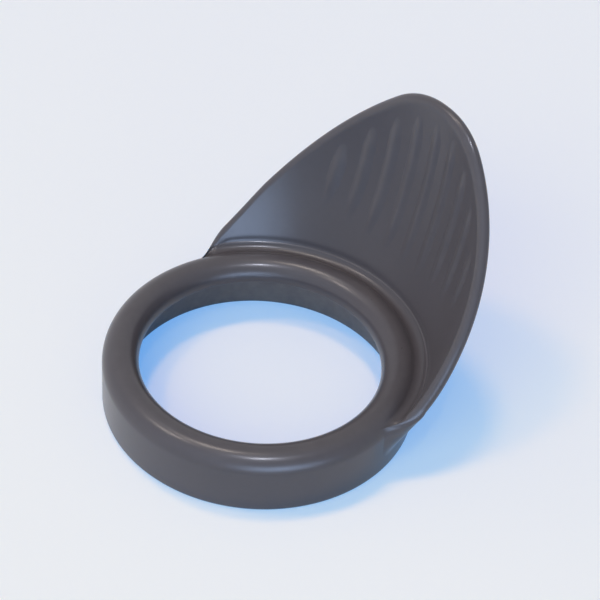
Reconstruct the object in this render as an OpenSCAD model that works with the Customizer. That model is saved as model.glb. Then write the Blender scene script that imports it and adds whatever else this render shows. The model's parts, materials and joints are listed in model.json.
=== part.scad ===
// Winged rubber eyecup for the eye end of a telescope eyepiece: a collar that grips the eyepiece, an eye lip with
// a rounded rim, and a cupped wing on one side that shades the eye and folds outwards at its foot.
// Z runs along the bore, with Z = 0 at the collar's mouth. The wing stands on the +Y side, mirrored about X = 0.

/* [Collar] */
// Diameter of the seat bore that stretches over the eyepiece
seat_d = 34; // [30:0.5:40]
// Depth of the seat bore, from its mouth to the eye lip
seat_depth = 5.5; // [4:0.5:10]
// Thickness of the collar's wall round the seat bore
collar_wall = 2; // [1.6:0.1:3]
// Rounding of the collar's lower outside edge
foot_round = 0.5; // [0.2:0.1:1]

/* [Eye lip] */
// How far the eye lip stands in from the wall of the seat bore
lip_step = 2.4; // [1.6:0.1:3.2]
// Height of the straight edge round the aperture, below the rounded rim
lip_edge = 0.3; // [0.2:0.1:2]
// Width of the flat land on the rim's crest, between its inner and outer rounding
rim_land = 0.2; // [0.1:0.1:1]

/* [Wing] */
// Height of the wing's tip above the collar's mouth
wing_h = 33.5; // [28:0.5:40]
// Gap between the collar's outside and the wing's inner face, at the height of the rim
wing_gap = 0.9; // [0.6:0.1:1.4]
// How far the wing's inner face leans out between the rim's height and the tip
wing_lean = 4.6; // [2:0.2:7]
// Radius of the wing's cupped profile
cup_r = 54; // [45:1:90]
// Thickness of the wing's wall
wing_wall = 1.5; // [1:0.1:2]
// Half of the angle that the wing's foot spans round the collar
foot_span = 71.5; // [62:0.5:76]
// Radius of the wing's tip, seen square to one half of the wing
tip_r = 10; // [6:0.5:13]
// Radius of the wing's bowed side edges, seen square to one half of the wing
edge_r = 102; // [60:1:160]

/* [Wing foot] */
// Depth of the valley behind the rim, below the rim's crest
valley_depth = 0.6; // [0.4:0.1:1]
// Radius of the arc from the valley's floor up into the wing's inner face
valley_r = 1.3; // [1:0.1:1.8]
// Radius of the flex groove round the foot of the wing
groove_r = 0.4; // [0.2:0.05:0.6]
// Height of the hinge line above the valley's floor
hinge_rise = 0.1; // [0.1:0.1:1]
// Slope of the fold that parts the blade from the foot, rising to both sides
fold_slope = 45; // [35:1:55]

/* [Ribs] */
// Number of ribs on the blade's inner face
rib_count = 9; // [3:2:9]
// Distance between neighbouring ribs
rib_pitch = 3; // [2:0.1:3.2]
// Width of a rib
rib_w = 0.7; // [0.4:0.1:1.2]
// Height of a rib above the blade's inner face
rib_h = 0.35; // [0.2:0.05:0.6]
// Margin between the ends of the ribs and the edges of the blade
rib_margin = 2; // [1:0.1:3]

/* [Hidden] */
$fn = 96;
rubber = [0.33, 0.33, 0.35];

seat_r = seat_d / 2;
collar_r = seat_r + collar_wall;
aperture_r = seat_r - lip_step;
rim_r = (collar_wall + lip_step - rim_land) / 2;
lip_h = lip_edge + rim_r;
collar_h = seat_depth + lip_h;
rim_c = [collar_r - rim_r, collar_h - rim_r];

// The wing's wall lies between two arcs about one centre, drawn in a plane through the bore's axis
foot_r = collar_r + wing_gap;
tip_reach = foot_r + wing_lean;
cup_c = arc_centre([foot_r, collar_h], [tip_reach, wing_h], cup_r);

// The valley's arc runs from the level floor into the wing's inner face, without a corner at either
valley_floor = collar_h - valley_depth;
valley_c = [cup_at(valley_floor + valley_r, cup_r - valley_r), valley_floor + valley_r];
valley_end = cup_c + (valley_c - cup_c) * cup_r / (cup_r - valley_r);

// The fold crosses the wall from the hinge line on the wing's outer face to the flex groove on its inner face
hinge_z = valley_floor + hinge_rise;
hinge_y = cup_at(hinge_z, cup_r + wing_wall);
groove_z = hinge_z + wing_wall * tan(fold_slope);
groove_at = cup_at(groove_z, cup_r);

// One half of the wing's outline, seen along a level line at this angle from the middle of the wing
half_view = 29;
tip_c = [-(tip_reach + wing_wall / 2) * sin(half_view), wing_h - tip_r];
edge_foot = [(foot_r + wing_wall / 2) * sin(foot_span - half_view), collar_h];
edge_c = circles_meet(tip_c, edge_r - tip_r, edge_foot, edge_r);
edge_turn = atan2(tip_c.y - edge_c.y, tip_c.x - edge_c.x);

// Longer than any piece, for the blocks that trim them
room = 2 * (wing_h + tip_reach);

// Centre of the arc of radius r from p to q, on the left of the way from p to q
function arc_centre(p, q, r) =
    let (run = q - p, rise = sqrt(r * r - run * run / 4))
    (p + q) / 2 + rise * [-run.y, run.x] / norm(run);

// Point at distance a from p and b from q, on the right of the way from p to q
function circles_meet(p, a, q, b) =
    let (run = q - p, along = (run * run + a * a - b * b) / 2 / norm(run), aside = sqrt(a * a - along * along))
    p + (along * run + aside * [run.y, -run.x]) / norm(run);

// Distance from the bore's axis, at height z, of a face of radius r about the cup's centre
function cup_at(z, r) = cup_c.x + sqrt(r * r - pow(z - cup_c.y, 2));

// What a rounding of radius r takes from the corner of a square
module corner(r) {
    difference() {
        square(r);
        circle(r);
    }
}

module collar_profile() {
    difference() {
        translate([seat_r, 0]) square([collar_r - seat_r, seat_depth]);
        translate([collar_r - foot_round, foot_round]) mirror([0, 1]) corner(foot_round);
    }
}

module lip_profile() {
    difference() {
        translate([aperture_r, seat_depth]) square([collar_r - aperture_r, lip_h]);
        translate(rim_c) corner(rim_r);
        translate([aperture_r + rim_r, rim_c.y]) mirror([1, 0]) corner(rim_r);
    }
}

// Band between two faces of the cup, from height z up to past the tip
module cup_band(r_in, r_out, z) {
    intersection() {
        translate(cup_c) difference() {
            circle(r_out, $fn = 4 * $fn);
            circle(r_in, $fn = 4 * $fn);
        }
        translate([aperture_r, z]) square(room);
    }
}

module wall_profile() {
    difference() {
        cup_band(cup_r, cup_r + wing_wall, valley_floor);
        translate([groove_at, groove_z]) circle(groove_r);
    }
}

// Flare that carries the wing's wall on the collar, with the valley behind the rim
module flare_profile() {
    difference() {
        intersection() {
            union() {
                translate([collar_r, 0]) square([room, valley_floor]);
                translate(rim_c) square([rim_r, rim_r - valley_depth]);
                translate([valley_c.x, valley_floor]) square([room, valley_end.y - valley_floor]);
            }
            translate(cup_c) circle(cup_r + wing_wall, $fn = 4 * $fn);
        }
        lip_profile();
        translate(valley_c) circle(valley_r);
    }
}

module root_profile() {
    flare_profile();
    wall_profile();
}

// Outline of one half of the wing, drawn inwards by the margin
module half_outline(margin) {
    intersection() {
        union() {
            translate([-room, 0]) square([room + tip_c.x, wing_h - margin]);
            translate(tip_c) circle(tip_r - margin);
            intersection() {
                translate(edge_c) circle(edge_r - margin, $fn = 4 * $fn);
                translate(edge_c) rotate(edge_turn) translate([0, -room]) square([edge_r, room]);
            }
        }
        translate([-room, 0]) square([room + edge_foot.x - margin, room]);
    }
}

// Block with the wing's outline, drawn inwards by the margin, both halves
module outline_block(margin) {
    for (side = [0, 1]) mirror([side, 0, 0]) intersection() {
        rotate([0, 0, -half_view]) translate([0, room, 0]) rotate([90, 0, 0])
            linear_extrude(room) half_outline(margin);
        translate([0, -room / 2, 0]) cube(room);
    }
}

// Block on the blade's side of the fold, lifted off the fold by the margin
module above_fold(margin) {
    translate([0, hinge_y, hinge_z]) rotate([-fold_slope, 0, 0]) translate([-room, -room, margin])
        cube(2 * room);
}

// Half turn of a profile on the wing's side of the collar
module half_turn() {
    rotate_extrude(angle = 180) children();
}

module collar() {
    color(rubber) rotate_extrude() collar_profile();
}

module eye_lip() {
    color(rubber) rotate_extrude() lip_profile();
}

module wing_root() {
    color(rubber) difference() {
        intersection() {
            half_turn() root_profile();
            outline_block(0);
        }
        above_fold(0);
    }
}

module wing_blade() {
    color(rubber) intersection() {
        half_turn() wall_profile();
        outline_block(0);
        above_fold(0);
    }
}

module wing_ribs() {
    first = -(rib_count - 1) / 2;
    for (i = [0 : rib_count - 1]) color(rubber) intersection() {
        half_turn() cup_band(cup_r - rib_h, cup_r, collar_h);
        outline_block(rib_margin);
        above_fold(rib_margin);
        translate([(first + i) * rib_pitch - rib_w / 2, 0, 0]) cube([rib_w, room, room]);
    }
}

collar();
eye_lip();
wing_root();
wing_blade();
wing_ribs();
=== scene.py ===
"""Looks of a winged rubber eyecup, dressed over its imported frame.

The eyecup is one soft moulding that lies collar down on a pale table. Three pieces dress it: the ring that grips the
eyepiece, the cupped wing that shades the eye and bends at its foot, and the fine ribs on the wing's inner face.
Sizes in the classes are in millimetres, and meshes are written in metres, in the frame of the CAD model.
"""

import json
import logging
import math
from dataclasses import dataclass, field
from enum import Enum
from typing import Any

import bmesh
import bpy
import numpy as np
from mathutils import Matrix, Vector


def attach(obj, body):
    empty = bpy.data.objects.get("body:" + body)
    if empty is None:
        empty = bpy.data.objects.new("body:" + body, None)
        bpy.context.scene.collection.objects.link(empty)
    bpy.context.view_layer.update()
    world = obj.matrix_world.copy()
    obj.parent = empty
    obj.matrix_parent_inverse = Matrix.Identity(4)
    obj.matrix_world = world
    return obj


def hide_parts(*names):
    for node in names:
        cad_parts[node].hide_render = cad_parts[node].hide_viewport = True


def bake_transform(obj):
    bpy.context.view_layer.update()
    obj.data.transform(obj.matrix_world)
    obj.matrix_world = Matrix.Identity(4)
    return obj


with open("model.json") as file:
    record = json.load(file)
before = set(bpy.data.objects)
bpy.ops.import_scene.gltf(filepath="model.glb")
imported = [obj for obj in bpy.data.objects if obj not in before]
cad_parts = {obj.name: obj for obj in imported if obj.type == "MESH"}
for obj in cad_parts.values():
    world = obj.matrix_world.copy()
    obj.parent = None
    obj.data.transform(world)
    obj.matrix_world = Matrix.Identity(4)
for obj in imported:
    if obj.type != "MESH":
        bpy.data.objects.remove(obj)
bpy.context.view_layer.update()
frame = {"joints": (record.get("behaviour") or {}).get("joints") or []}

MM = 0.001
HINGE = tuple(frame["joints"][0]["pos_m"])
MIRROR = np.array([-1, 1, 1])
LOG = logging.getLogger("eyecup")

Colour = tuple[float, float, float]
Row = tuple[np.ndarray | float, np.ndarray | float]


class Body(Enum):
    """Bodies of the frame that pieces ride on."""

    CUP = "cup"
    WING = "wing"


class Mark(Enum):
    """Values kept at each vertex for the finishes to read."""

    PLACE = "rest_mm"
    RUB = "rub"
    # Painted fill light: how far a vertex is washed paler, standing in for light that the lamps do not bring.
    PAINTED_FILL = "dust"


class LampShape(Enum):
    """Kinds of lamp in the studio."""

    ROUND = "SUN"
    PANEL = "AREA"


def unit(azimuth: float, elevation: float) -> Vector:
    """Direction from the object to a point of view or a lamp.

    Args:
        azimuth: Turn round the object in degrees, 0 at -Y and 90 at +X.
        elevation: Angle above the table in degrees.

    Returns:
        A vector of length 1.
    """
    a, e = math.radians(azimuth), math.radians(elevation)
    return Vector((math.sin(a) * math.cos(e), -math.cos(a) * math.cos(e), math.sin(e)))


def arc(centre: np.ndarray, radius: float, start: float, end: float, count: int) -> np.ndarray:
    """Points on an arc in a plane through the bore's axis.

    Args:
        centre: Centre of the arc as (distance from the axis, height).
        radius: Radius of the arc.
        start: Angle of the first point in degrees.
        end: Angle of the last point in degrees.
        count: Number of points.

    Returns:
        An array of (distance, height), one row for each point.
    """
    turn = np.radians(np.linspace(start, end, count))
    return np.asarray(centre) + radius * np.stack([np.cos(turn), np.sin(turn)], axis=1)


def run(first: tuple[float, float], last: tuple[float, float], count: int) -> np.ndarray:
    """Points on a straight line, without its two ends.

    Args:
        first: Start of the line as (distance, height).
        last: End of the line.
        count: Number of points between them.

    Returns:
        An array of (distance, height).
    """
    share = np.linspace(0, 1, count + 2)[1:-1, None]
    return np.asarray(first) * (1 - share) + np.asarray(last) * share


def smooth(values: np.ndarray, low: float, high: float) -> np.ndarray:
    """Soft step from 0 at low to 1 at high.

    Args:
        values: Values to grade.
        low: Value at which the step starts.
        high: Value at which the step ends.

    Returns:
        The graded values.
    """
    share = np.clip((values - low) / (high - low), 0, 1)
    return share * share * (3 - 2 * share)


def circles_meet(first: np.ndarray, first_r: float, second: np.ndarray, second_r: float) -> np.ndarray:
    """Point where two circles meet, on the right of the way from the first centre to the second.

    Args:
        first: Centre of the first circle as (distance, height).
        first_r: Radius of the first circle.
        second: Centre of the second circle.
        second_r: Radius of the second circle.

    Returns:
        The point as (distance, height).
    """
    way = second - first
    along = (way @ way + first_r**2 - second_r**2) / 2 / np.linalg.norm(way)
    aside = math.sqrt(first_r**2 - along**2)
    return first + (along * way + aside * np.array([way[1], -way[0]])) / np.linalg.norm(way)


@dataclass(frozen=True)
class EyecupSizes:
    """Sizes of the moulding, the same as in the part's source.

    Attributes:
        seat_r: Radius of the seat bore that grips the eyepiece.
        seat_depth: Depth of the seat bore.
        collar_wall: Wall of the collar round the seat bore.
        foot_round: Rounding of the collar's lower outside edge.
        lip_step: How far the eye lip stands in from the seat bore.
        lip_edge: Height of the straight edge round the aperture.
        rim_land: Width of the flat land on the rim's crest.
        wing_h: Height of the wing's tip.
        wing_gap: Gap between the collar's outside and the wing's inner face, at the height of the rim.
        wing_lean: How far the wing leans out between the rim's height and the tip.
        cup_r: Radius of the wing's cupped profile.
        wing_wall: Thickness of the wing.
        foot_span: Half of the angle that the wing's foot spans, in degrees.
        tip_r: Radius of the wing's tip, seen square to one half.
        edge_r: Radius of the wing's bowed side edges, seen in the same way.
        fold_slope: Slope of the fold at the wing's foot, in degrees.
        half_view: Angle from the wing's middle at which one half is seen square, in degrees.
    """

    seat_r: float = 17.0
    seat_depth: float = 5.5
    collar_wall: float = 2.0
    foot_round: float = 0.5
    lip_step: float = 2.4
    lip_edge: float = 0.3
    rim_land: float = 0.2
    wing_h: float = 33.5
    wing_gap: float = 0.9
    wing_lean: float = 4.6
    cup_r: float = 54.0
    wing_wall: float = 1.5
    foot_span: float = 71.5
    tip_r: float = 10.0
    edge_r: float = 102.0
    fold_slope: float = 45.0
    half_view: float = 29.0

    @property
    def collar_r(self) -> float:
        """Outside radius of the collar."""
        return self.seat_r + self.collar_wall

    @property
    def aperture_r(self) -> float:
        """Radius of the aperture inside the eye lip."""
        return self.seat_r - self.lip_step

    @property
    def rim_r(self) -> float:
        """Radius of the rim's rounding."""
        return (self.collar_wall + self.lip_step - self.rim_land) / 2

    @property
    def collar_h(self) -> float:
        """Height of the rim's crest."""
        return self.seat_depth + self.lip_edge + self.rim_r

    @property
    def rim_c(self) -> np.ndarray:
        """Centre of the rim's outer rounding."""
        return np.array([self.collar_r - self.rim_r, self.collar_h - self.rim_r])

    @property
    def foot_r(self) -> float:
        """Radius of the wing's inner face at the height of the rim."""
        return self.collar_r + self.wing_gap

    @property
    def tip_reach(self) -> float:
        """Radius of the wing's inner face at the tip."""
        return self.foot_r + self.wing_lean

    @property
    def cup_c(self) -> np.ndarray:
        """Centre of the wing's cupped profile.

        Returns:
            The centre as (distance, height).
        """
        foot = np.array([self.foot_r, self.collar_h])
        tip = np.array([self.tip_reach, self.wing_h])
        way = tip - foot
        rise = math.sqrt(self.cup_r**2 - way @ way / 4)
        return (foot + tip) / 2 + rise * np.array([-way[1], way[0]]) / np.linalg.norm(way)

    def cup_at(self, height: np.ndarray, offset: float) -> np.ndarray:
        """Distance of a face of the wing's wall from the bore's axis.

        Args:
            height: Height above the collar's mouth.
            offset: How far the face lies outside the inner face.

        Returns:
            The distance at each height.
        """
        centre = self.cup_c
        return centre[0] + np.sqrt((self.cup_r + offset) ** 2 - (height - centre[1]) ** 2)


@dataclass(frozen=True)
class WingOutline:
    """Outline of one half of the wing, seen along a level line across that half.

    Attributes:
        sizes: Sizes of the moulding.
    """

    sizes: EyecupSizes

    @property
    def tip_c(self) -> np.ndarray:
        """Centre of the tip's rounding.

        Returns:
            The centre as (cross distance, height).
        """
        s = self.sizes
        reach = s.tip_reach + s.wing_wall / 2
        return np.array([-reach * math.sin(math.radians(s.half_view)), s.wing_h - s.tip_r])

    @property
    def edge_foot(self) -> np.ndarray:
        """Foot of the bowed side edge.

        Returns:
            The foot as (cross distance, height).
        """
        s = self.sizes
        reach = s.foot_r + s.wing_wall / 2
        return np.array([reach * math.sin(math.radians(s.foot_span - s.half_view)), s.collar_h])

    @property
    def edge_c(self) -> np.ndarray:
        """Centre of the bowed side edge."""
        s = self.sizes
        return circles_meet(self.tip_c, s.edge_r - s.tip_r, self.edge_foot, s.edge_r)

    def top(self, across: np.ndarray, margin: float) -> np.ndarray:
        """Height of the outline.

        Args:
            across: Level distance square to the line of sight, towards the foot of the side edge.
            margin: How far the outline is drawn inwards.

        Returns:
            The height of the outline at each place.
        """
        s, tip, centre = self.sizes, self.tip_c, self.edge_c
        tip_r, edge_r = s.tip_r - margin, s.edge_r - margin
        touch = tip + (tip - centre) / np.linalg.norm(tip - centre) * tip_r
        on_tip = tip[1] + np.sqrt(np.maximum(tip_r**2 - (across - tip[0]) ** 2, 0))
        on_edge = centre[1] + np.sqrt(np.maximum(edge_r**2 - (across - centre[0]) ** 2, 0))
        return np.where(across < tip[0], s.wing_h - margin, np.where(across < touch[0], on_tip, on_edge))


class Wiring:
    """Nodes and links of one material or node group."""

    def __init__(self, tree: bpy.types.NodeTree) -> None:
        """Keeps the tree that the nodes go into."""
        self.tree = tree

    def add(self, kind: str, inputs: dict[str | int, Any] | None = None, **settings: Any) -> bpy.types.Node:
        """Adds a node and sets or links its inputs.

        Args:
            kind: Type of the node.
            inputs: Input by name or number, with a value or with the output that it is linked to.
            **settings: Properties of the node itself.

        Returns:
            The new node.
        """
        node = self.tree.nodes.new(kind)
        for name, value in settings.items():
            setattr(node, name, value)
        for name, value in (inputs or {}).items():
            if isinstance(value, bpy.types.NodeSocket):
                self.tree.links.new(value, node.inputs[name])
            else:
                node.inputs[name].default_value = value
        return node

    def math(self, operation: str, first: Any, second: Any = 0.0) -> bpy.types.NodeSocket:
        """Adds a Math node and returns its output."""
        return self.add("ShaderNodeMath", {0: first, 1: second}, operation=operation).outputs[0]

    def noise(self, place: bpy.types.NodeSocket, scale: Any, detail: float) -> bpy.types.NodeSocket:
        """Adds a Noise texture over a place in millimetres and returns its value."""
        return self.add("ShaderNodeTexNoise", {"Vector": place, "Scale": scale, "Detail": detail}).outputs[0]

    def grade(self, value: Any, low: float, high: float, to_low: Any, to_high: Any) -> bpy.types.NodeSocket:
        """Maps a range of values softly to another and returns the result.

        Args:
            value: Output to grade.
            low: Value that gives to_low.
            high: Value that gives to_high.
            to_low: Result at and below low.
            to_high: Result at and above high.

        Returns:
            The graded output.
        """
        ends = {"Value": value, "From Min": low, "From Max": high, "To Min": to_low, "To Max": to_high}
        return self.add("ShaderNodeMapRange", ends, interpolation_type="SMOOTHSTEP").outputs[0]

    def mix(self, share: Any, first: Any, second: Any) -> bpy.types.NodeSocket:
        """Mixes two colours by a share and returns the result."""
        return self.add("ShaderNodeMix", {0: share, 6: first, 7: second}, data_type="RGBA").outputs[2]

    def seen(self) -> bpy.types.NodeSocket:
        """Tells rays that show the surface to the camera from rays that only carry light.

        Returns:
            An output that is 1 for camera, glossy and transmission rays, and 0 for others.
        """
        path = self.add("ShaderNodeLightPath").outputs
        shown = self.math("MAXIMUM", path["Is Camera Ray"], path["Is Glossy Ray"])
        return self.math("MAXIMUM", shown, path["Is Transmission Ray"])


class RubberEffects:
    """Shader node groups that every rubber finish shares, each built once."""

    worn_tone: Colour = (0.16, 0.157, 0.165)
    # Pale tone of the painted fill light that washes faces paler where the lamps leave them too dark.
    painted_fill_tone: Colour = (0.3, 0.29, 0.28)

    def __init__(self) -> None:
        """Builds the three groups."""
        self.drift = self._drift()
        self.grain = self._grain()
        self.wear_and_fill = self._wear_and_fill()

    @staticmethod
    def _group(name: str, takes: dict[str, str], gives: dict[str, str]) -> tuple[Wiring, Any, Any]:
        """Makes an empty group with its sockets.

        Args:
            name: Name of the group.
            takes: Name and kind of each input.
            gives: Name and kind of each output.

        Returns:
            The wiring of the group, the outputs of its input node and the inputs of its output node.
        """
        tree = bpy.data.node_groups.new(name, "ShaderNodeTree")
        for direction, sockets in (("INPUT", takes), ("OUTPUT", gives)):
            for socket, kind in sockets.items():
                tree.interface.new_socket(name=socket, in_out=direction, socket_type=f"NodeSocket{kind}")
        wiring = Wiring(tree)
        return wiring, wiring.add("NodeGroupInput").outputs, wiring.add("NodeGroupOutput").inputs

    def _drift(self) -> bpy.types.NodeTree:
        """Tone and gloss that drift slowly from place to place, as in a filled rubber.

        Returns:
            The group.
        """
        w, takes, gives = self._group(
            "rubber_tone_drift",
            {"Place": "Vector", "Tone": "Color", "Drift": "Float", "Roughness": "Float"},
            {"Colour": "Color", "Roughness": "Float"},
        )
        cloud_scale, cloud_share = 0.16, 0.6
        mottle_scale, mottle_share = 1.3, 0.4
        gloss_swing = 0.06
        clouds = w.noise(takes["Place"], cloud_scale, detail=3.0)
        mottle = w.noise(takes["Place"], mottle_scale, detail=4.0)
        both = w.math("ADD", w.math("MULTIPLY", clouds, cloud_share), w.math("MULTIPLY", mottle, mottle_share))
        swing = w.math("MULTIPLY", w.math("SUBTRACT", both, 0.5), 2.0)
        level = w.math("ADD", w.math("MULTIPLY", swing, takes["Drift"]), 1.0)
        scaled = w.add("ShaderNodeVectorMath", {0: takes["Tone"], "Scale": level}, operation="SCALE").outputs[0]
        w.tree.links.new(scaled, gives["Colour"])
        gloss = w.math("MULTIPLY", w.math("SUBTRACT", mottle, 0.5), gloss_swing)
        w.tree.links.new(w.math("ADD", takes["Roughness"], gloss), gives["Roughness"])
        return w.tree

    def _grain(self) -> bpy.types.NodeTree:
        """Fine grain of the mould's face, as a height in millimetres.

        Returns:
            The group.
        """
        w, takes, gives = self._group(
            "rubber_mould_grain",
            {"Place": "Vector", "Size": "Float", "Depth": "Float"},
            {"Height": "Float"},
        )
        broad_scale, broad_height = 0.9, 2.0
        fine = w.noise(takes["Place"], w.math("DIVIDE", 1.0, takes["Size"]), detail=2.0)
        broad = w.noise(takes["Place"], broad_scale, detail=2.0)
        height = w.math("ADD", fine, w.math("MULTIPLY", broad, broad_height))
        w.tree.links.new(w.math("MULTIPLY", height, takes["Depth"]), gives["Height"])
        return w.tree

    def _wear_and_fill(self) -> bpy.types.NodeTree:
        """Edges rubbed pale and smooth, and painted fill light: a pale, matt wash on faces marked for it.

        Returns:
            The group.
        """
        w, takes, gives = self._group(
            "rubber_wear_and_painted_fill",
            {"Place": "Vector", "Colour": "Color", "Roughness": "Float", "Rub": "Float", "PaintedFill": "Float"},
            {"Colour": "Color", "Roughness": "Float"},
        )
        patch_scale, fill_patch_scale = 0.55, 0.7
        polish, matting = 0.2, 0.3
        patches = w.noise(takes["Place"], patch_scale, detail=4.0)
        fill_patches = w.noise(takes["Place"], fill_patch_scale, detail=3.0)
        rubbed = w.math("MULTIPLY", takes["Rub"], w.grade(patches, low=0.35, high=0.7, to_low=0.35, to_high=1.0))
        # Painted fill light: where marked, the colour is washed towards a pale tone and the face made matter.
        fill_share = w.math("MULTIPLY", takes["PaintedFill"], w.grade(fill_patches, low=0.25, high=0.75, to_low=0.6, to_high=1.0))
        pale = w.mix(rubbed, takes["Colour"], (*self.worn_tone, 1.0))
        w.tree.links.new(w.mix(fill_share, pale, (*self.painted_fill_tone, 1.0)), gives["Colour"])
        worn = w.math("SUBTRACT", takes["Roughness"], w.math("MULTIPLY", rubbed, polish))
        w.tree.links.new(w.math("ADD", worn, w.math("MULTIPLY", fill_share, matting)), gives["Roughness"])
        return w.tree


@dataclass(frozen=True)
class RubberFinish:
    """Satin rubber of one zone of the moulding.

    Attributes:
        name: Name of the material.
        tone: Colour of the rubber, linear.
        drift: How far the tone drifts from place to place.
        roughness: Roughness of the clean face.
        grain_size: Size of the mould's grain in millimetres.
        grain_depth: Height of the grain in millimetres.
        refraction: Index of refraction of the rubber.
        skin: Weight of the smooth skin that the mould leaves on the rubber.
        skin_roughness: Roughness of that skin.
        sheen: Weight of the soft sheen seen at a low angle.
        sheen_roughness: Roughness of the sheen.
        sheen_tint: Colour of the sheen, linear.
    """

    name: str
    tone: Colour = (0.075, 0.0705, 0.079)
    drift: float = 0.1
    roughness: float = 0.31
    grain_size: float = 0.4
    grain_depth: float = 0.0015
    refraction: float = 1.4
    skin: float = 0.17
    skin_roughness: float = 0.17
    sheen: float = 0.02
    sheen_roughness: float = 0.45
    sheen_tint: Colour = (0.8, 0.88, 1.0)

    def build(self, effects: RubberEffects) -> bpy.types.Material:
        """Makes the material.

        Args:
            effects: Node groups that the finishes share.

        Returns:
            The new material.
        """
        material = bpy.data.materials.new(self.name)
        material.use_nodes = True
        material.node_tree.nodes.clear()
        w = Wiring(material.node_tree)
        place = w.add("ShaderNodeAttribute", attribute_name=Mark.PLACE.value).outputs["Vector"]
        rub = w.add("ShaderNodeAttribute", attribute_name=Mark.RUB.value).outputs["Fac"]
        # Share of painted fill light at each vertex.
        dust = w.add("ShaderNodeAttribute", attribute_name=Mark.PAINTED_FILL.value).outputs["Fac"]
        drift = w.add("ShaderNodeGroup", node_tree=effects.drift)
        for socket, value in (("Tone", (*self.tone, 1.0)), ("Drift", self.drift), ("Roughness", self.roughness)):
            drift.inputs[socket].default_value = value
        wear_and_fill = w.add("ShaderNodeGroup", node_tree=effects.wear_and_fill)
        grain = w.add("ShaderNodeGroup", node_tree=effects.grain)
        grain.inputs["Size"].default_value = self.grain_size
        grain.inputs["Depth"].default_value = self.grain_depth
        for group in (drift, wear_and_fill, grain):
            w.tree.links.new(place, group.inputs["Place"])
        for source, target in ((drift.outputs["Colour"], "Colour"), (drift.outputs["Roughness"], "Roughness"),
                               (rub, "Rub"), (dust, "PaintedFill")):
            w.tree.links.new(source, wear_and_fill.inputs[target])
        bump = w.add("ShaderNodeBump", {"Strength": 1.0, "Distance": MM, "Height": grain.outputs["Height"]})
        shader = w.add(
            "ShaderNodeBsdfPrincipled",
            {
                "Base Color": wear_and_fill.outputs["Colour"],
                "Roughness": wear_and_fill.outputs["Roughness"],
                "Normal": bump.outputs["Normal"],
                "IOR": self.refraction,
                "Coat Weight": self.skin,
                "Coat Roughness": self.skin_roughness,
                "Sheen Weight": self.sheen,
                "Sheen Roughness": self.sheen_roughness,
                "Sheen Tint": (*self.sheen_tint, 1.0),
            },
        )
        w.add("ShaderNodeOutputMaterial", {"Surface": shader.outputs[0]})
        return material


@dataclass(frozen=True)
class TableFinish:
    """Plain pale table top, matt, with the cool shadows of a table lit by warm lamps and a window.

    Attributes:
        name: Name of the material.
        bounce: Colour that lights the object from below.
        shown: Colour that the camera sees lit and shaded.
        glow: Cool light that the camera sees in the shadows too.
    """

    name: str = "pale_table"
    bounce: Colour = (0.84, 0.85, 0.87)
    shown: Colour = (0.885, 0.65, 0.09)
    glow: Colour = (0.08, 0.33, 0.81)

    def build(self) -> bpy.types.Material:
        """Makes the material.

        Returns:
            The new material.
        """
        material = bpy.data.materials.new(self.name)
        material.use_nodes = True
        material.node_tree.nodes.clear()
        w = Wiring(material.node_tree)
        below = w.add("ShaderNodeBsdfDiffuse", {"Color": (*self.bounce, 1.0)})
        lit = w.add("ShaderNodeBsdfDiffuse", {"Color": (*self.shown, 1.0)})
        cool = w.add("ShaderNodeEmission", {"Color": (*self.glow, 1.0), "Strength": 1.0})
        top = w.add("ShaderNodeAddShader", {0: lit.outputs[0], 1: cool.outputs[0]})
        mixed = w.add("ShaderNodeMixShader", {0: w.seen(), 1: below.outputs[0], 2: top.outputs[0]})
        w.add("ShaderNodeOutputMaterial", {"Surface": mixed.outputs[0]})
        return material


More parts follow.
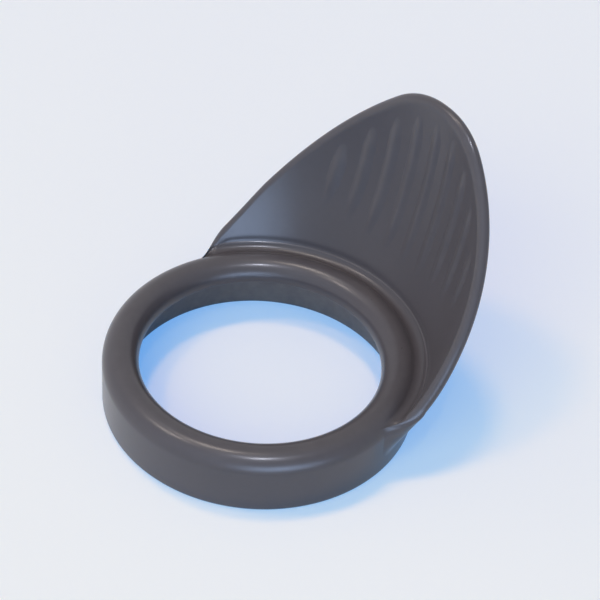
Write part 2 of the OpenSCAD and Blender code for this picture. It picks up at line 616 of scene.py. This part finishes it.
@dataclass
class MeshDraft:
    """Vertices and faces of a piece, in millimetres, with what the finishes read at each vertex.

    Attributes:
        points: Places of the vertices, in the order in which they were added.
        rub: How far each vertex is rubbed, from 0 to 1.
        dust: How far each vertex is washed paler by painted fill light, from 0 to 1.
        faces: Numbers of each face's vertices.
        count: Number of vertices so far.
    """

    points: list[np.ndarray] = field(default_factory=list)
    rub: list[np.ndarray] = field(default_factory=list)
    dust: list[np.ndarray] = field(default_factory=list)
    faces: list[tuple[int, ...]] = field(default_factory=list)
    count: int = 0

    def add(self, points: np.ndarray, rub: np.ndarray | float = 0.0, dust: np.ndarray | float = 0.0) -> np.ndarray:
        """Adds vertices.

        Args:
            points: Places of the vertices, the last axis being X, Y and Z.
            rub: How far each is rubbed, from 0 to 1.
            dust: How far each is washed paler by painted fill light, from 0 to 1.

        Returns:
            The numbers of the vertices, in the shape of the points.
        """
        shape = points.shape[:-1]
        flat = points.reshape(-1, 3)
        self.points.append(flat)
        self.rub.append(np.broadcast_to(rub, shape).reshape(-1))
        self.dust.append(np.broadcast_to(dust, shape).reshape(-1))
        numbers = np.arange(self.count, self.count + len(flat)).reshape(shape)
        self.count += len(flat)
        return numbers

    def grid(self, numbers: np.ndarray, wrap_rows: bool, wrap_columns: bool) -> None:
        """Adds the faces of a grid of vertices.

        Args:
            numbers: Numbers of the vertices, one row for each loop across.
            wrap_rows: Whether the last row joins the first.
            wrap_columns: Whether the last column joins the first.
        """
        rows, columns = numbers.shape
        for i in range(rows if wrap_rows else rows - 1):
            for j in range(columns if wrap_columns else columns - 1):
                k, m = (i + 1) % rows, (j + 1) % columns
                self.faces.append((numbers[i, j], numbers[i, m], numbers[k, m], numbers[k, j]))

    def fan(self, loop: np.ndarray) -> None:
        """Closes a loop of vertices with a fan about their middle.

        Args:
            loop: Numbers of the vertices, in order.
        """
        places = np.concatenate(self.points)[loop]
        middle = int(self.add(places.mean(axis=0)[None])[0])
        for first, second in zip(loop, np.roll(loop, -1)):
            self.faces.append((int(first), int(second), middle))

    def build(self, name: str, material: bpy.types.Material) -> bpy.types.Object:
        """Makes the object, with its normals outwards and its marks kept on the mesh.

        Args:
            name: Name of the piece.
            material: Finish of the piece.

        Returns:
            The new object, linked to the scene.
        """
        places = np.concatenate(self.points)
        mesh = bpy.data.meshes.new(name)
        mesh.from_pydata((places * MM).tolist(), [], [tuple(int(v) for v in f) for f in self.faces])
        work = bmesh.new()
        work.from_mesh(mesh)
        bmesh.ops.recalc_face_normals(work, faces=work.faces)
        work.to_mesh(mesh)
        work.free()
        mesh.shade_smooth()
        mesh.attributes.new(Mark.PLACE.value, "FLOAT_VECTOR", "POINT").data.foreach_set("vector", places.ravel())
        for mark, values in ((Mark.RUB, self.rub), (Mark.PAINTED_FILL, self.dust)):
            mesh.attributes.new(mark.value, "FLOAT", "POINT").data.foreach_set("value", np.concatenate(values))
        mesh.materials.append(material)
        piece = bpy.data.objects.new(name, mesh)
        bpy.context.scene.collection.objects.link(piece)
        return piece


@dataclass
class GripRing:
    """Collar and eye lip: one ring with a rounded rim, a stepped seat and softened corners.

    Attributes:
        sizes: Sizes of the moulding.
        finish: Finish of the ring.
        segments: Number of profiles round the ring.
        mouth_round: Rounding of the seat's mouth.
        lip_round: Rounding of the lip's lower edge.
        corner_round: Rounding of the seat's inner corner.
        crest_rub: How far the rim's crest is rubbed.
        crest_width: Height over which that fades.
        foot_rub: How far the collar's foot is rubbed.
        foot_width: Distance over which that fades.
        seat_painted_fill: How far the seat's wall is washed paler by painted fill light, standing in for light
            bounced into the bore.
        seat_skin: Distance from the seat's wall that counts as the wall.
    """

    sizes: EyecupSizes
    finish: RubberFinish
    segments: int = 224
    mouth_round: float = 0.3
    lip_round: float = 0.12
    corner_round: float = 0.25
    crest_rub: float = 0.12
    crest_width: float = 0.25
    foot_rub: float = 0.2
    foot_width: float = 0.5
    seat_painted_fill: float = 0.38
    seat_skin: float = 0.01

    def profile(self) -> np.ndarray:
        """Closed profile of the ring, from the foot up the outside and down the bore.

        Returns:
            An array of (distance from the axis, height).
        """
        s = self.sizes
        inner_rim = np.array([s.aperture_r + s.rim_r, s.rim_c[1]])
        foot = np.array([s.collar_r - s.foot_round, s.foot_round])
        lip = np.array([s.aperture_r + self.lip_round, s.seat_depth + self.lip_round])
        corner = np.array([s.seat_r - self.corner_round, s.seat_depth - self.corner_round])
        mouth = np.array([s.seat_r + self.mouth_round, self.mouth_round])
        return np.concatenate([
            arc(foot, s.foot_round, -90, 0, 8),
            run((s.collar_r, s.foot_round), (s.collar_r, s.rim_c[1]), 14),
            arc(s.rim_c, s.rim_r, 0, 90, 22),
            arc(inner_rim, s.rim_r, 90, 180, 22),
            arc(lip, self.lip_round, 180, 270, 5),
            run((lip[0], s.seat_depth), (corner[0], s.seat_depth), 5),
            arc(corner, self.corner_round, 90, 0, 5),
            run((s.seat_r, corner[1]), (s.seat_r, mouth[1]), 10),
            arc(mouth, self.mouth_round, 180, 270, 6),
            run((mouth[0], 0.0), (foot[0], 0.0), 3),
        ])

    def build(self, effects: RubberEffects) -> bpy.types.Object:
        """Builds the ring and rides it on the cup.

        Args:
            effects: Node groups that the finishes share.

        Returns:
            The finished piece.
        """
        s = self.sizes
        flat = self.profile()
        turn = np.linspace(0, 2 * math.pi, self.segments, endpoint=False)[:, None]
        reach, height = flat[None, :, 0], flat[None, :, 1]
        places = np.stack([reach * np.sin(turn), reach * np.cos(turn), height + 0 * turn], axis=2)
        crest = np.exp(-(((flat[:, 1] - s.collar_h) / self.crest_width) ** 2))
        foot = np.exp(-((np.hypot(flat[:, 0] - s.collar_r, flat[:, 1]) / self.foot_width) ** 2))
        rub = self.crest_rub * crest + self.foot_rub * foot
        # Painted fill light: the seat bore's wall is washed paler and matter, standing in for light bounced into the
        # bore.
        dust = self.seat_painted_fill * (np.abs(flat[:, 0] - s.seat_r) < self.seat_skin)
        draft = MeshDraft()
        numbers = draft.add(places, rub[None, :], dust[None, :])
        draft.grid(numbers, True, True)
        ring = draft.build("eyecup_ring", self.finish.build(effects))
        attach(ring, Body.CUP.value)
        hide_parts("collar", "eye_lip")
        return ring


@dataclass
class ShadeWing:
    """Cupped wing: one continuous wall that rises from the valley behind the rim, with a crease at its foot where
    the real wing folds.

    Attributes:
        sizes: Sizes of the moulding.
        outline: Outline of one half of the wing.
        finish: Finish of the wing.
        columns: Columns of vertices along one half, up to its nose.
        column_power: How far the columns crowd towards the nose.
        rows: Rows of vertices on each face.
        row_power: How far the inner face's rows crowd towards its foot.
        least_rise: Least height of the inner face, where the outline comes down to the valley.
        edge_round: Rounding of the free edge.
        edge_steps: Steps round each corner of the free edge.
        valley_r: Radius of the valley behind the rim.
        lap: Angle over which the wing's skin laps the rim, in degrees.
        lap_depth: Depth of that lap below the rim's face.
        root_depth: Depth of the wall's first row inside the rim.
        crease_z: Height of the crease at the wing's foot.
        crease_depth: Depth of the crease.
        crease_width: Height over which the crease fades.
        crease_fade: Height below the free edge over which the crease runs out.
        sink: Share of its height that the wing loses close to its nose.
        sink_run: Cross distance over which it does.
        shelf_z: Height below which nothing sinks.
        nose_start: Cross distance between the start of the nose and the foot of the side edge.
        nose_turn: Angle from the wing's middle at which the nose is lost in the ring, in degrees.
        nose_columns: Columns of vertices along the nose.
        nose_flow: How steeply the nose falls towards the ring.
        nose_soften: Number of rows over which the nose is evened out.
        nose_depth: Depth of the nose's end below the ring's face.
        fillet: Softness of the corner between the wing's outside and the collar.
        low_z: Height of the outside's lower end.
        low_depth: Depth of the outside's lower end below the collar's face.
        anchor: Depth in the collar of the wall's last row, and its height above the lower end.
        bend: Length above the hinge line over which the wing would bend; not used.
    """

    sizes: EyecupSizes
    outline: WingOutline
    finish: RubberFinish
    columns: int = 90
    column_power: float = 1.25
    rows: int = 84
    row_power: float = 1.7
    least_rise: float = 0.05
    edge_round: float = 0.74
    edge_steps: int = 8
    valley_r: float = 1.0
    lap: float = 20.0
    lap_depth: float = 0.006
    root_depth: float = 0.6
    crease_z: float = 7.85
    crease_depth: float = 0.12
    crease_width: float = 0.5
    crease_fade: float = 2.0
    sink: float = 0.1
    sink_run: float = 3.4
    shelf_z: float = 7.4
    nose_start: float = 1.0
    nose_turn: float = 78.5
    nose_columns: int = 20
    nose_flow: float = 2.4
    nose_soften: int = 27
    nose_depth: float = 0.03
    fillet: float = 0.16
    low_z: float = 1.4
    low_depth: float = 0.012
    anchor: tuple[float, float] = (0.5, 0.2)
    bend: float = 12.0

    def across(self, share: np.ndarray, reach: np.ndarray) -> np.ndarray:
        """Cross distance of points of one half, as its outline is seen.

        Args:
            share: Place along the half, 0 at the middle of the wing and 1 where its nose starts.
            reach: Distance from the bore's axis.

        Returns:
            The cross distance of each point.
        """
        first = -reach * math.sin(math.radians(self.sizes.half_view))
        return first + (self.outline.edge_foot[0] - self.nose_start - first) * share

    def turn(self, across: np.ndarray, reach: np.ndarray) -> np.ndarray:
        """Angle of points of one half from the middle of the wing.

        Args:
            across: Cross distance of each point, as the half's outline is seen.
            reach: Distance from the bore's axis.

        Returns:
            The angle of each point.
        """
        return math.radians(self.sizes.half_view) + np.arcsin(across / reach)

    def crest(self, share: np.ndarray, offset: float, margin: float) -> np.ndarray:
        """Height at which a face of the wall reaches the outline.

        Args:
            share: Place along the half.
            offset: How far the face lies outside the inner face.
            margin: How far the outline is drawn inwards.

        Returns:
            The height at each place.
        """
        below_rim, halvings = 2.0, 48
        low = np.full_like(share, self.sizes.collar_h - below_rim)
        high = np.full_like(share, self.sizes.wing_h)
        for _ in range(halvings):
            middle = (low + high) / 2
            reach = self.sizes.cup_at(middle, offset)
            inside = self.outline.top(self.across(share, reach), margin) > middle
            low, high = np.where(inside, middle, low), np.where(inside, high, middle)
        return (low + high) / 2

    def valley(self) -> np.ndarray:
        """Valley behind the rim, from inside the ring to the foot of the wing's inner face.

        Returns:
            An array of (distance, height).
        """
        s = self.sizes
        centre = circles_meet(s.rim_c, s.rim_r + self.valley_r, s.cup_c, s.cup_r - self.valley_r)
        leave = math.degrees(math.atan2(*(centre - s.rim_c)[::-1]))
        meet = math.degrees(math.atan2(*(centre - s.cup_c)[::-1]))
        return np.concatenate([
            arc(s.rim_c, s.rim_r - self.root_depth, leave + self.lap, leave + self.lap, 1),
            arc(s.rim_c, s.rim_r - self.lap_depth, leave + self.lap, leave, 6),
            arc(centre, self.valley_r + self.lap_depth, leave - 180, meet, 18)[1:],
        ])

    def inner_rows(self, share: np.ndarray, foot_z: float) -> list[Row]:
        """Rows of the inner face, with the crease at its foot.

        Args:
            share: Place of each column along the half.
            foot_z: Height at which the valley ends.

        Returns:
            Distance and height of each row.
        """
        tops = self.crest(share, 0.0, self.edge_round)
        foot = np.minimum(foot_z, tops - self.least_rise)
        rows: list[Row] = []
        for step in np.linspace(0, 1, self.rows + 1)[1:]:
            z = foot + (tops - foot) * step**self.row_power
            dip = self.crease_depth * np.exp(-(((z - self.crease_z) / self.crease_width) ** 2))
            rows.append((self.sizes.cup_at(z, 0.0) + dip * smooth(tops - z, 0, self.crease_fade), z))
        return rows

    def edge_rows(self, share: np.ndarray) -> list[Row]:
        """Rows over the rounded free edge, from the inner face to the outer one.

        Args:
            share: Place of each column along the half.

        Returns:
            Distance and height of each row.
        """
        rounding, steps = self.edge_round, self.edge_steps + 1
        rise = [(rounding * (1 - math.cos(turn)), rounding * (1 - math.sin(turn)))
                for turn in np.radians(np.linspace(0, 90, steps)[1:])]
        fall = [(self.sizes.wing_wall - rounding * (1 - math.cos(turn)), rounding * (1 - math.sin(turn)))
                for turn in np.radians(np.linspace(90, 0, steps))]
        rows: list[Row] = []
        for offset, margin in rise + fall:
            z = self.crest(share, offset, margin)
            rows.append((self.sizes.cup_at(z, offset), z))
        return rows

    def outer_rows(self, share: np.ndarray) -> list[Row]:
        """Rows of the outer face, down to its end inside the collar.

        Args:
            share: Place of each column along the half.

        Returns:
            Distance and height of each row.
        """
        s = self.sizes
        tops = self.crest(share, s.wing_wall, self.edge_round)
        rows: list[Row] = []
        for step in np.linspace(0, 1, self.rows + 1)[1:]:
            z = tops + (self.low_z - tops) * step
            clear = s.cup_at(z, s.wing_wall) - s.collar_r
            soft = self.fillet * np.logaddexp(0, clear / self.fillet)
            rows.append((s.collar_r - self.low_depth + soft, z))
        depth, rise = self.anchor
        rows.append((s.collar_r - depth, self.low_z + rise))
        return rows

    def half_rows(self, share: np.ndarray) -> tuple[np.ndarray, np.ndarray]:
        """Rows of one half of the wing, from the valley up the inside, over the edge and down the outside.

        Args:
            share: Place of each column along the half.

        Returns:
            Distance and height, each with a row for each row of the wall and a column for each share.
        """
        bowl = self.valley()
        rows: list[Row] = [(point[0], point[1]) for point in bowl]
        rows += self.inner_rows(share, bowl[-1][1]) + self.edge_rows(share) + self.outer_rows(share)
        reach, height = (np.stack([np.broadcast_to(row, share.shape) for row in part]) for part in zip(*rows))
        return reach, height

    def on_ring(self, reach: np.ndarray, height: np.ndarray) -> tuple[np.ndarray, np.ndarray]:
        """Nearest points of the ring's outside, a little below its face.

        Args:
            reach: Distance of each point from the axis.
            height: Height of each point.

        Returns:
            Distance and height of the nearest points.
        """
        s, sunk, least = self.sizes, self.nose_depth, 1e-6
        away_r, away_z = reach - s.rim_c[0], height - s.rim_c[1]
        length = np.maximum(np.hypot(away_r, away_z), least)
        scale = np.minimum(s.rim_r - sunk, length) / length
        low = height < s.rim_c[1]
        return (np.where(low, np.minimum(s.collar_r - sunk, reach), s.rim_c[0] + away_r * scale),
                np.where(low, height, s.rim_c[1] + away_z * scale))

    def soften(self, rows: np.ndarray) -> np.ndarray:
        """Evens out a column of values over neighbouring rows.

        Args:
            rows: One column, with a value for each row of the wall.

        Returns:
            The evened column.
        """
        weight = np.hanning(self.nose_soften + 2)[1:-1]
        padded = np.pad(rows[:, 0], self.nose_soften // 2, "edge")
        return np.convolve(padded, weight / weight.sum(), "valid")[:, None]

    def half_grid(self) -> np.ndarray:
        """Places of one half of the wing, with the nose in which its end flows into the ring.

        Returns:
            An array of (x, y, z), with a row for each row of the wall and a column for each place along the half.
        """
        share = 1 - (1 - np.linspace(0, 1, self.columns)) ** self.column_power
        reach, height = self.half_rows(share)
        across = self.across(share[None, :], reach)
        end = self.outline.edge_foot[0] - self.nose_start
        low = 1 - self.sink * smooth(across[-1], end - self.sink_run, end)
        height = np.minimum(height, self.shelf_z) + np.maximum(height - self.shelf_z, 0) * low
        turn = self.turn(across, reach)
        step = np.linspace(0, 1, self.nose_columns + 1)[None, 1:]
        last_r, last_z, last_turn = reach[:, -1:], height[:, -1:], turn[:, -1:]
        ring_r, ring_z = self.on_ring(last_r, last_z)
        gone = smooth(step, 0, 1)
        soft_r, soft_z = (last + (self.soften(last) - last) * gone for last in (last_r, last_z))
        reach = np.hstack([reach, ring_r + (soft_r - ring_r) * (1 - gone)])
        height = np.hstack([height, ring_z + (soft_z - ring_z) * (1 - step) ** self.nose_flow])
        turn = np.hstack([turn, last_turn + (math.radians(self.nose_turn) - last_turn) * step])
        return np.stack([reach * np.sin(turn), reach * np.cos(turn), height], axis=2)

    def build(self, effects: RubberEffects) -> bpy.types.Object:
        """Builds the wing and bakes its placement into its mesh.

        Args:
            effects: Node groups that the finishes share.

        Returns:
            The finished piece.
        """
        half = self.half_grid()
        draft = MeshDraft()
        numbers = draft.add(np.concatenate([half[:, :0:-1] * MIRROR, half], axis=1))
        draft.grid(numbers, True, False)
        draft.fan(numbers[:, 0])
        draft.fan(numbers[:, -1])
        wing = draft.build("eyecup_wing", self.finish.build(effects))
        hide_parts("wing_root", "wing_blade")
        self.bend_with_fold(wing)
        return wing

    def bend_with_fold(self, piece: bpy.types.Object) -> None:
        """Bakes a piece's placement into its mesh, without bending it or tying it to the wing's body.

        Args:
            piece: The wing, or a piece that lies on it.
        """
        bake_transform(piece)


@dataclass
class WingRibs:
    """Fine upright ribs on the wing's inner face, each swelling softly out of the wall.

    Attributes:
        wing: Wing that carries the ribs.
        finish: Finish of the ribs.
        count: Number of ribs.
        pitch: Distance between neighbouring ribs.
        width: Width of a rib at its middle.
        narrowing: Share of its width that a rib loses at its ends.
        height: Height of a rib's crest above the wall.
        margin: Margin between the ribs' ends and the edges of the wing.
        taper: Length over which a rib rises at its lower end.
        top_taper: Length of the same at its upper end, as a share of the lower one.
        depth: Depth of a rib's edges below the wall's face.
        root_depth: Depth of a rib's back inside the wall.
        crest_rub: How far a rib's crest is rubbed.
        rows: Rows of vertices along a rib.
        around: Vertices across a rib's front.
        samples: Number of heights that are tried for a rib's ends.
    """

    wing: ShadeWing
    finish: RubberFinish
    count: int = 9
    pitch: float = 3.0
    width: float = 1.8
    narrowing: float = 0.3
    height: float = 0.2
    margin: float = 2.0
    taper: float = 4.5
    top_taper: float = 0.7
    depth: float = 0.003
    root_depth: float = 0.25
    crest_rub: float = 0.12
    rows: int = 70
    around: int = 17
    samples: int = 1200

    def ends(self, across: float) -> tuple[float, float]:
        """Lowest and highest point of a rib.

        Args:
            across: X of the rib's middle.

        Returns:
            Height of its lower end and of its upper end.
        """
        s = self.wing.sizes
        hinge = [value / MM for value in HINGE]
        z = np.linspace(s.collar_h, s.wing_h, self.samples)
        reach = s.cup_at(z, 0.0)
        y = np.sqrt(reach**2 - across**2)
        slope = math.radians(s.fold_slope)
        above = (y - hinge[1]) * math.sin(slope) + (z - hinge[2]) * math.cos(slope) > self.margin
        turn = np.arcsin(abs(across) / reach) - math.radians(s.half_view)
        below = self.wing.outline.top(reach * np.sin(turn), self.margin) > z
        inside = z[above & below]
        return float(inside[0]), float(inside[-1])

    def strip(self, draft: MeshDraft, across: float) -> None:
        """Adds one rib to the mesh.

        Args:
            draft: Mesh of all the ribs.
            across: X of the rib's middle.
        """
        s = self.wing.sizes
        low, high = self.ends(across)
        z = np.linspace(low, high, self.rows)
        fade = smooth(z, low, low + self.taper) * (1 - smooth(z, high - self.taper * self.top_taper, high))
        swell = np.linspace(-1, 1, self.around)
        bump = np.cos(swell * math.pi / 2) ** 2
        rise = np.outer(fade, bump) * self.height - self.depth
        half = self.width / 2 * (1 - self.narrowing + self.narrowing * fade)
        x = across + np.outer(half, swell)
        reach = s.cup_at(z, 0.0)[:, None] - rise
        outer = np.stack([x, np.sqrt(reach**2 - x**2), np.broadcast_to(z[:, None], x.shape)], axis=2)
        under = s.cup_at(z, 0.0)[:, None] + self.root_depth + 0 * x[:, 1:-1]
        flat_x = x[:, -2:0:-1]
        inner = np.stack([flat_x, np.sqrt(under**2 - flat_x**2), np.broadcast_to(z[:, None], flat_x.shape)], axis=2)
        loop = np.concatenate([outer, inner], axis=1)
        rub = np.concatenate([np.outer(fade, bump) * self.crest_rub, 0 * flat_x], axis=1)
        numbers = draft.add(loop, rub)
        draft.grid(numbers, False, True)
        draft.fan(numbers[0])
        draft.fan(numbers[-1])

    def build(self, effects: RubberEffects) -> bpy.types.Object:
        """Builds the ribs and bakes their placement into their mesh.

        Args:
            effects: Node groups that the finishes share.

        Returns:
            The finished piece.
        """
        draft = MeshDraft()
        for number in range(self.count):
            self.strip(draft, (number - (self.count - 1) / 2) * self.pitch)
        ribs = draft.build("eyecup_wing_ribs", self.finish.build(effects))
        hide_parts("wing_ribs")
        self.wing.bend_with_fold(ribs)
        return ribs


@dataclass(frozen=True)
class Lamp:
    """One soft light of the studio, far enough away to light the object evenly.

    Attributes:
        name: Name of the lamp.
        shape: Round lamp or flat panel.
        azimuth: Turn round the object in degrees.
        elevation: Height above the table in degrees.
        shade: Light that shades matt faces, for a round lamp on a face square to it, for a panel its brightness.
        shine: The same for what gloss shows of the lamp.
        spread: Angle that a round lamp, or a panel's width, takes up in degrees.
        rise: Angle that a panel's height takes up in degrees.
        distance: How far away the lamp stands in metres.
    """

    name: str
    shape: LampShape
    azimuth: float
    elevation: float
    shade: Colour
    shine: Colour
    spread: float
    rise: float = 0.0
    distance: float = 1.2

    def build(self) -> None:
        """Builds the lamp's shade and its shine, both aimed at the object."""
        self._place("shade", self.shade).visible_glossy = False
        self._place("shine", self.shine).visible_diffuse = False

    def _place(self, part: str, light: Colour) -> bpy.types.Object:
        """Adds one light of the lamp.

        Args:
            part: Name of the light within the lamp.
            light: Strength of the light by colour.

        Returns:
            The light's object.
        """
        lamp = bpy.data.lights.new(f"{self.name}_{part}", self.shape.value)
        most = max(light)
        lamp.color = tuple(value / most for value in light)
        if self.shape is LampShape.ROUND:
            lamp.energy = most
            lamp.angle = math.radians(self.spread)
        else:
            lamp.shape = "RECTANGLE"
            lamp.size = 2 * self.distance * math.tan(math.radians(self.spread) / 2)
            lamp.size_y = 2 * self.distance * math.tan(math.radians(self.rise) / 2)
            lamp.energy = most * math.pi * lamp.size * lamp.size_y
        towards = unit(self.azimuth, self.elevation)
        holder = bpy.data.objects.new(lamp.name, lamp)
        holder.rotation_mode = "QUATERNION"
        holder.rotation_quaternion = towards.to_track_quat("Z", "Y")
        holder.location = towards * self.distance
        holder.visible_camera = False
        bpy.context.scene.collection.objects.link(holder)
        return holder


def studio_lamps() -> list[Lamp]:
    """Two warm lamps behind the object, one overhead, a cool window behind the camera and a panel at the side.

    Returns:
        The lamps.
    """
    round_lamp, panel = LampShape.ROUND, LampShape.PANEL
    return [
        Lamp("left_lamp", round_lamp, 264.0, 74.0, (0.73, 0.53, 0.39), (0.4, 0.35, 0.31), 10.0),
        Lamp("back_lamp", round_lamp, 312.0, 62.0, (0.45, 0.315, 0.2), (0.34, 0.3, 0.27), 10.0),
        Lamp("overhead_lamp", round_lamp, 61.0, 73.5, (0.1, 0.1, 0.12), (0.85, 0.88, 1.04), 4.0),
        Lamp("window_low", panel, 66.0, 7.5, (2.3, 3.05, 4.5), (11.4, 15.6, 23.6), 40.0, 14.0),
        Lamp("window_high", panel, 24.0, 38.0, (1.75, 2.15, 2.7), (1.65, 2.05, 2.65), 45.0, 32.0),
        Lamp("side_panel", panel, 326.0, 7.5, (4.4, 4.4, 4.4), (0.3, 0.3, 0.3), 45.0, 14.0),
    ]


@dataclass
class Studio:
    """Pale table, soft lamps and the camera at the photograph's angle.

    Attributes:
        table: Finish of the table top.
        table_half: Half of the table's side.
        sky: Light from all round, linear.
        backdrop: Colour that the camera sees past the table, linear.
        lamps: Lamps of the studio.
        image: Width of the photograph in pixels.
        azimuth: Turn of the camera round the object in degrees.
        elevation: Height of the camera above the table in degrees.
        distance: Distance of the camera from the point that it is aimed at.
        scale: Pixels of the photograph for each millimetre at that point.
        aim_right: How far that point lies to the right of the frame's origin, as seen.
        aim_up: How far it lies above the origin, as seen.
        roll: Tilt of the camera about its line of sight in degrees.
        sensor: Width of the camera's sensor.
        clip: Nearest and furthest distance that the camera shows, in metres.
    """

    table: TableFinish = TableFinish()
    table_half: float = 900.0
    sky: Colour = (0.26, 0.27, 0.29)
    backdrop: Colour = (0.776, 0.799, 0.871)
    lamps: list[Lamp] = field(default_factory=studio_lamps)
    image: float = 600.0
    azimuth: float = 49.311
    elevation: float = 41.738
    distance: float = 231.669
    scale: float = 8.171
    aim_right: float = 4.135
    aim_up: float = 11.964
    roll: float = 4.693
    sensor: float = 36.0
    clip: tuple[float, float] = (0.01, 10.0)

    def build_table(self) -> None:
        """Builds the table top that the collar stands on."""
        h = self.table_half * MM
        mesh = bpy.data.meshes.new("table_top")
        mesh.from_pydata([(-h, -h, 0), (h, -h, 0), (h, h, 0), (-h, h, 0)], [], [(0, 1, 2, 3)])
        mesh.materials.append(self.table.build())
        table = bpy.data.objects.new("table_top", mesh)
        bpy.context.scene.collection.objects.link(table)

    def build_world(self) -> None:
        """Lights the scene from all round, and shows the pale backdrop to the camera."""
        world = bpy.data.worlds.new("studio")
        world.use_nodes = True
        world.node_tree.nodes.clear()
        w = Wiring(world.node_tree)
        light = w.add("ShaderNodeBackground", {"Color": (*self.sky, 1.0), "Strength": 1.0})
        shown = w.add("ShaderNodeBackground", {"Color": (*self.backdrop, 1.0), "Strength": 1.0})
        mixed = w.add("ShaderNodeMixShader", {0: w.seen(), 1: light.outputs[0], 2: shown.outputs[0]})
        w.add("ShaderNodeOutputWorld", {"Surface": mixed.outputs[0]})
        bpy.context.scene.world = world

    def build_camera(self) -> None:
        """Adds the camera at the photograph's angle and makes it the scene's."""
        back = unit(self.azimuth, self.elevation)
        turn, tilt = math.radians(self.azimuth), math.radians(self.roll)
        right = Vector((math.cos(turn), math.sin(turn), 0))
        up = back.cross(right)
        aim = right * self.aim_right + up * self.aim_up
        tilted_right = right * math.cos(tilt) + up * math.sin(tilt)
        tilted_up = up * math.cos(tilt) - right * math.sin(tilt)
        data = bpy.data.cameras.new("photo_camera")
        data.sensor_width = self.sensor
        data.lens = self.sensor * self.scale * self.distance / self.image
        data.clip_start, data.clip_end = self.clip
        camera = bpy.data.objects.new("photo_camera", data)
        matrix = Matrix((tilted_right, tilted_up, back)).transposed().to_4x4()
        matrix.translation = (aim + back * self.distance) * MM
        camera.matrix_world = matrix
        bpy.context.scene.collection.objects.link(camera)
        bpy.context.scene.camera = camera

    def build(self) -> None:
        """Builds the whole studio and sets the plain view transform."""
        self.build_table()
        self.build_world()
        for lamp in self.lamps:
            lamp.build()
        self.build_camera()
        bpy.context.scene.view_settings.view_transform = "Standard"


def main() -> None:
    """Builds the studio and the pieces in order, and logs each piece's counts of vertices and faces."""
    logging.basicConfig(level=logging.INFO, format="%(name)s: %(message)s")
    Studio().build()
    sizes = EyecupSizes()
    effects = RubberEffects()
    ring = GripRing(sizes, RubberFinish("ring_rubber"))
    wing = ShadeWing(sizes, WingOutline(sizes), RubberFinish("wing_rubber"))
    ribs = WingRibs(wing, RubberFinish("rib_rubber", roughness=0.38))
    for maker in (ring, wing, ribs):
        piece = maker.build(effects)
        LOG.info("%s: %d vertices, %d faces", piece.name, len(piece.data.vertices), len(piece.data.polygons))


if __name__ == "__main__":
    main()
